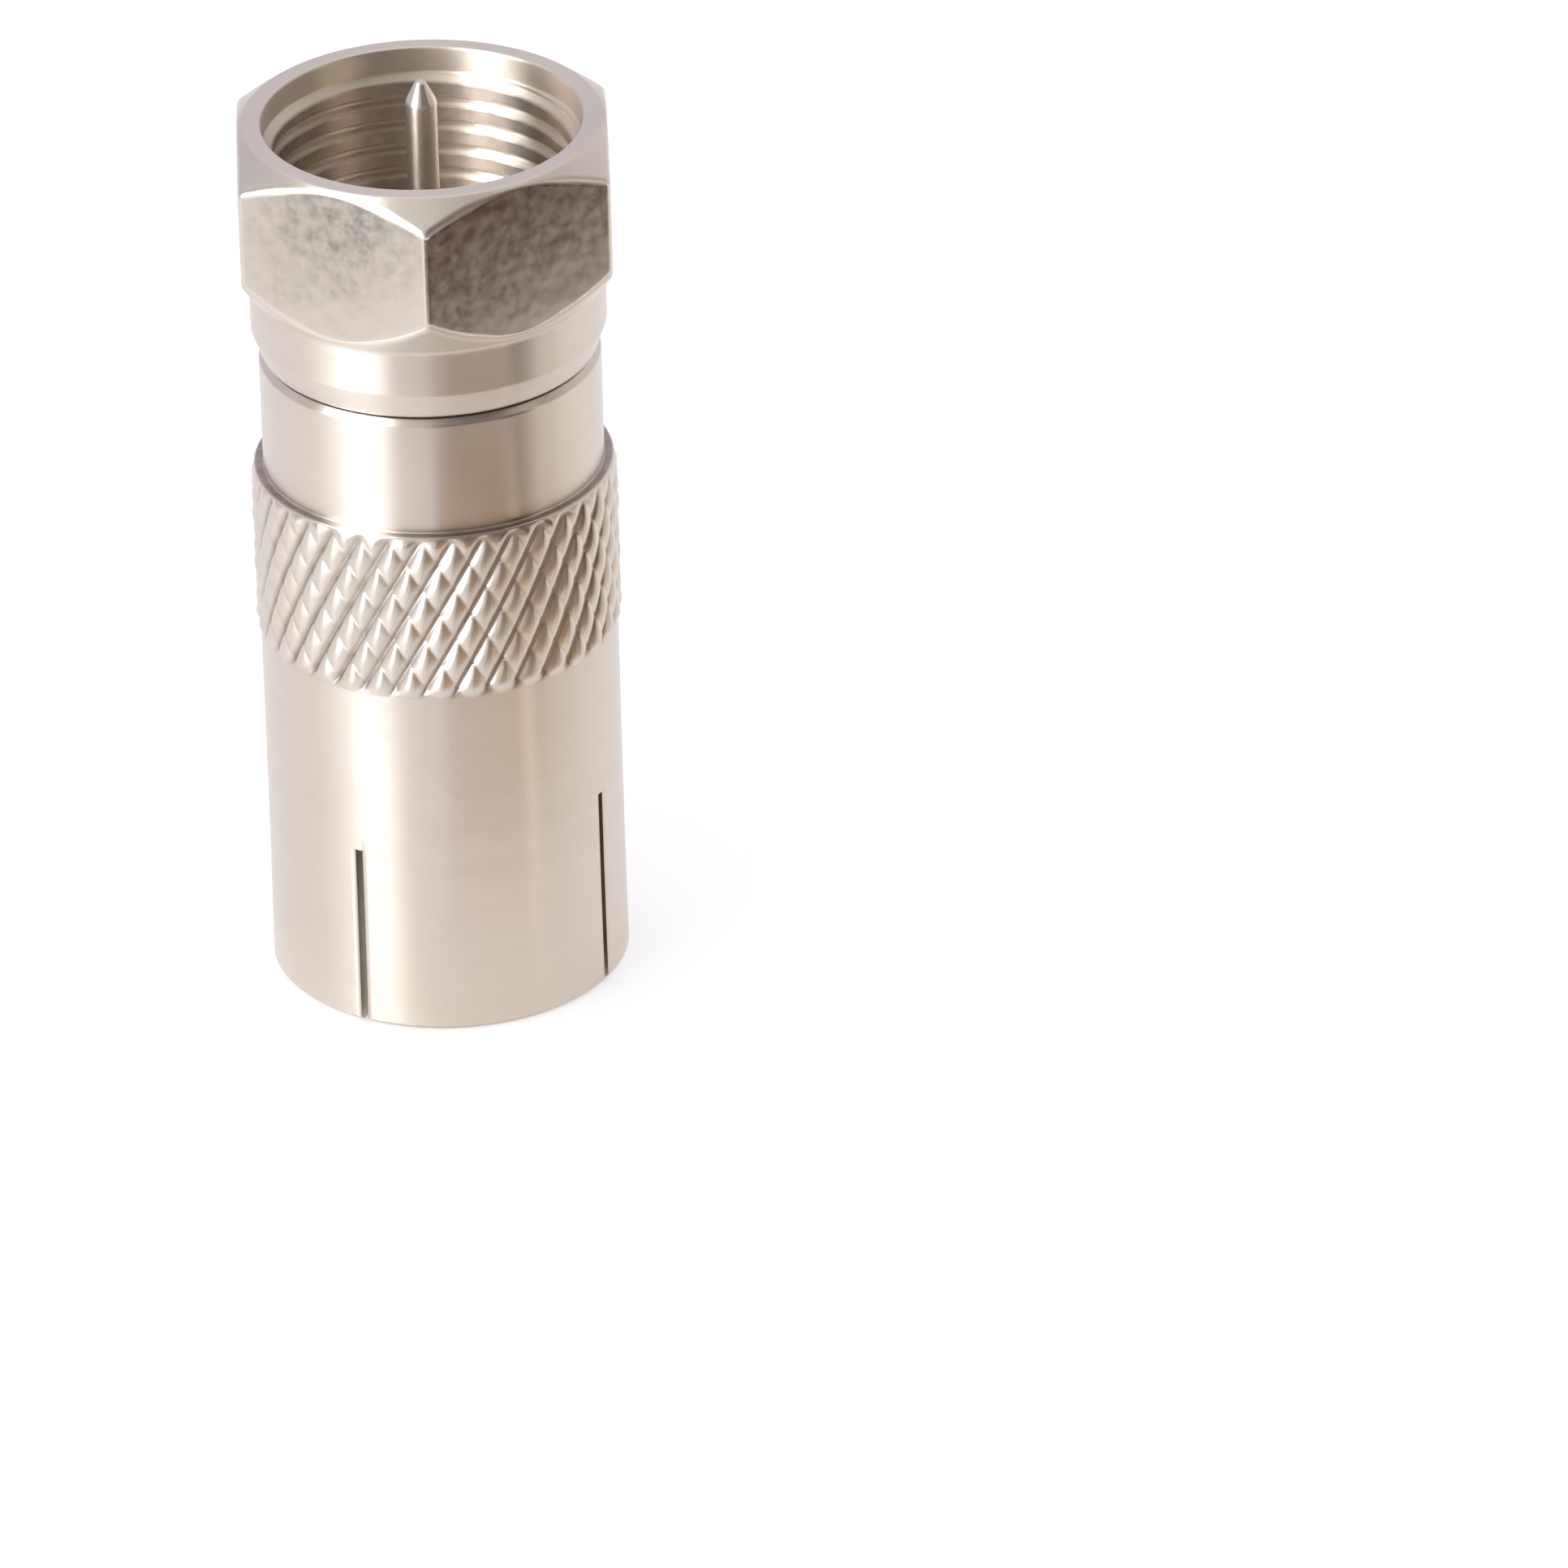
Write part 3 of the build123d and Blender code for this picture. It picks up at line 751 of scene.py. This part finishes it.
ferrule = turnedPiece("groundSleeve", ferruleCorners, 160, nickelTurned)
pin = turnedPiece("centrePin", pinCorners, 96, contactPlate, closed=False, steps=6)
coaxBush = turnedPiece("rearBush", coaxBushCorners, 128, whiteInsulator)
frontBush = turnedPiece("frontBush", frontBushCorners, 128, whiteInsulator)
seat(ferrule, "ground_ferrule", "shell")
seat(makeContact(contactSizes), "socket_contact", "shell")
seat(pin, "f_pin", "shell")
seat(coaxBush, "coax_insulator", "shell")
seat(frontBush, "f_insulator", "shell")


# Camera: its place, the point at the picture's centre, and the roll in degrees, fitted to the
# photograph's outlines.
cameraSet = {
    "place": (177.09, -305.742, 200.0), "target": (10.893, 1.691, 7.353), "roll": -1.29,
    "lens": 301.17, "sensor": 36.0, "nearest": 20.0, "farthest": 10000.0,
}


def aimed(place, target):
    return (target - place).to_track_quat("-Z", "Y").to_matrix()


def makeCamera(values):
    camera = bpy.data.objects.new("photoCamera", bpy.data.cameras.new("photoCamera"))
    camera.data.lens, camera.data.sensor_width = values["lens"], values["sensor"]
    camera.data.clip_start = values["nearest"] * millimetre
    camera.data.clip_end = values["farthest"] * millimetre
    place, target = Vector(values["place"]) * millimetre, Vector(values["target"]) * millimetre
    roll = Matrix.Rotation(np.radians(values["roll"]), 3, "Z")
    camera.matrix_world = Matrix.Translation(place) @ (aimed(place, target) @ roll).to_4x4()
    scene.collection.objects.link(camera)
    scene.camera = camera


makeCamera(cameraSet)


# Studio: pale floor, soft white surroundings, a long soft light from the left with a bright card
# behind it, and darker cards on the right. Turns are in degrees from the camera's side.
studio = {
    "floorSize": 3000.0, "floorColour": (0.78, 0.78, 0.78, 1), "floorGlow": 0.38,
    "horizon": (0.76, 0.74, 0.84, 1), "zenith": (1.0, 1.0, 1.0, 1), "skyBlend": (0.5, 0.9),
    "cameraSide": -60.0, "cardStep": 1.5, "softLightTurn": -47.0, "softLightDistance": 170.0,
    "softLightHeight": 95.0, "softLightSize": (90.0, 150.0), "softLightPower": 0.05,
    "softLightTarget": (0, 0, 15.0),
}

# Each card is a list of stops (turn, distance, bottom, top, red, green, blue), joined by straight
# runs. Only glossy rays see the cards.
cards = {
    "brightCard": [
        (-59, 160, 5, 120, 6.5, 6.5, 6.6), (-34, 160, 5, 120, 6.5, 6.5, 6.6),
        (-31, 160, 5, 120, 2.0, 2.0, 2.0), (-30, 160, 5, 40, 1.6, 1.55, 1.5),
        (-3, 160, 5, 40, 1.6, 1.55, 1.5),
    ],
    "highCard": [(-78, 160, 90, 330, 13, 13, 13.2), (-42, 160, 90, 330, 13, 13, 13.2)],
    "lowCard": [
        (1, 24, 0.2, 11, 0.66, 0.49, 0.34), (45, 21, 0.2, 11, 0.66, 0.48, 0.33),
        (46, 21, 0.2, 11, 1.2, 1.0, 0.8), (51, 21, 0.2, 11, 1.2, 1.0, 0.8),
        (52, 21, 0.2, 11, 0.62, 0.5, 0.4), (66, 22, 0.2, 11, 0.75, 0.66, 0.58),
        (90, 24, 0.2, 11, 1.0, 0.94, 0.88), (120, 26, 0.2, 11, 1.2, 1.15, 1.1),
    ],
    "hexCard": [
        (-24, 46, 4.4, 14, 0.06, 0.03, 0.02), (8, 46, 4.2, 14, 0.06, 0.03, 0.01),
        (10, 46, 0.2, 14, 0.06, 0.02, 0.0), (57, 46, 0.2, 14, 0.06, 0.02, 0.0),
        (58.5, 46, 3.0, 14, 0.07, 0.03, 0.0), (64, 46, 5.0, 14, 0.12, 0.09, 0.07),
        (67, 46, 5.0, 14, 0.6, 0.55, 0.5), (82, 46, 4.0, 14, 0.6, 0.57, 0.54),
    ],
    "creaseCard": [(44, 46, 14, 52, 0.08, 0.05, 0.05), (64, 46, 14, 52, 0.10, 0.07, 0.07)],
    "leftCard": [
        (-59.5, 46, 4.4, 12, 0.9, 0.9, 0.9), (-58, 46, 4.4, 12, 0.03, 0.03, 0.05),
        (-54.3, 46, 5.0, 12, 0.03, 0.03, 0.05), (-52.8, 46, 5.4, 12, 0.9, 0.9, 0.9),
    ],
    "roomCard": [
        (-2, 300, 20, 90, 0.75, 0.72, 0.7), (2, 300, 20, 90, 0.4, 0.33, 0.28),
        (66, 300, 20, 90, 0.4, 0.33, 0.28), (68, 300, 20, 90, 0.95, 0.85, 0.7),
        (77, 300, 20, 90, 0.95, 0.85, 0.7), (79, 300, 20, 90, 0.5, 0.46, 0.44),
        (110, 300, 40, 90, 0.8, 0.76, 0.76), (150, 300, 60, 90, 0.95, 0.93, 0.98),
    ],
    "upperCard": [
        (-110, 300, 60, 450, 0.9, 0.88, 0.92), (-80, 300, 60, 450, 0.4, 0.38, 0.38),
        (-77, 300, 60, 450, 0.2, 0.18, 0.18), (-76, 300, 640, 650, 0.2, 0.18, 0.18),
        (-31, 300, 640, 650, 0.2, 0.18, 0.18), (-30, 300, 90, 450, 0.65, 0.62, 0.6),
        (-4, 300, 90, 450, 0.65, 0.62, 0.6), (2, 300, 90, 450, 0.15, 0.12, 0.11),
        (20, 300, 90, 700, 0.15, 0.12, 0.11), (66, 300, 90, 700, 0.15, 0.12, 0.11),
        (68, 300, 90, 450, 0.95, 0.85, 0.7), (77, 300, 90, 450, 0.95, 0.85, 0.7),
        (79, 300, 90, 450, 0.3, 0.27, 0.26), (110, 300, 90, 400, 0.75, 0.72, 0.73),
        (150, 300, 90, 300, 0.95, 0.93, 0.98),
    ],
}


def makeStagePiece(name, points, faces, materialName, finish):
    mesh = bpy.data.meshes.new(name)
    mesh.from_pydata(points, [], faces)
    piece = bpy.data.objects.new(name, mesh)
    scene.collection.objects.link(piece)
    material, tree, shader = newMaterial(materialName)
    setSockets(shader, finish)
    mesh.materials.append(material)
    return piece, tree, shader


def makeFloor(values):
    reach = values["floorSize"] / 2 * millimetre
    corners = [(-reach, -reach, 0), (reach, -reach, 0), (reach, reach, 0), (-reach, reach, 0)]
    finish = {
        "Base Color": values["floorColour"], "Roughness": 0.9, "Specular IOR Level": 0.1,
        "Emission Color": (1, 1, 1, 1), "Emission Strength": values["floorGlow"],
    }
    makeStagePiece("floor", corners, [(0, 1, 2, 3)], "floorPaper", finish)


# An upright band round Z, whose distance, bottom, top and tone run straight between its stops.
def makeCard(name, stops, values):
    stops = np.array(stops, float)
    between = np.arange(stops[0, 0], stops[-1, 0], values["cardStep"])
    turns = np.union1d(stops[:, 0], between)
    runs = [np.interp(turns, stops[:, 0], column) for column in stops.T[1:]]
    distance, bottom, top, *tones = runs
    angles = np.radians(values["cameraSide"] + turns)
    points = turnedPoints(distance, np.stack([bottom, top]), angles).reshape(-1, 3)
    count = len(turns)
    columns = np.arange(count - 1)
    faces = np.stack([columns, columns + 1, columns + count + 1, columns + count], -1)
    finish = {
        "Base Color": (0, 0, 0, 1), "Roughness": 1.0, "Specular IOR Level": 0.0,
        "Emission Strength": 1.0,
    }
    card, tree, shader = makeStagePiece(name, points * millimetre, faces.tolist(), name, finish)
    colours = np.tile(np.stack([*tones, np.ones(count)], -1), (2, 1))
    attribute = card.data.attributes.new("tone", "FLOAT_COLOR", "POINT")
    attribute.data.foreach_set("color", colours.ravel())
    tone = addNode(tree, "ShaderNodeAttribute", attribute_name="tone").outputs["Color"]
    tree.links.new(tone, shader.inputs["Emission Color"])
    card.visible_camera = card.visible_shadow = card.visible_diffuse = False


def makeSoftLight(values):
    light = bpy.data.lights.new("softLight", "AREA")
    light.shape, light.energy = "RECTANGLE", values["softLightPower"]
    light.size, light.size_y = (length * millimetre for length in values["softLightSize"])
    holder = bpy.data.objects.new("softLight", light)
    turn = np.radians(values["cameraSide"] + values["softLightTurn"])
    across = values["softLightDistance"]
    place = Vector((across * np.cos(turn), across * np.sin(turn), values["softLightHeight"]))
    place, target = place * millimetre, Vector(values["softLightTarget"]) * millimetre
    holder.matrix_world = Matrix.Translation(place) @ aimed(place, target).to_4x4()
    scene.collection.objects.link(holder)


# The horizon's tone goes over to the zenith's between two heights of the viewing direction.
def makeSurroundings(values):
    world = bpy.data.worlds.new("studioWorld")
    scene.world = world
    world.use_nodes = True
    tree = world.node_tree
    direction = addNode(tree, "ShaderNodeTexCoord").outputs["Generated"]
    height = addNode(tree, "ShaderNodeSeparateXYZ", {0: direction}).outputs[2]
    low, high = values["skyBlend"]
    feeds = {"Value": height, "From Min": low, "From Max": high}
    share = addNode(tree, "ShaderNodeMapRange", feeds).outputs[0]
    tone = mixColour(tree, share, values["horizon"], values["zenith"])
    tree.links.new(tone, tree.nodes["Background"].inputs["Color"])
    tree.nodes["Background"].inputs["Strength"].default_value = 1.0


makeFloor(studio)
for name, stops in cards.items():
    makeCard(name, stops, studio)
makeSoftLight(studio)
makeSurroundings(studio)
scene.view_settings.view_transform = "Standard"
scene.view_settings.look = "None"
print("studio ready")
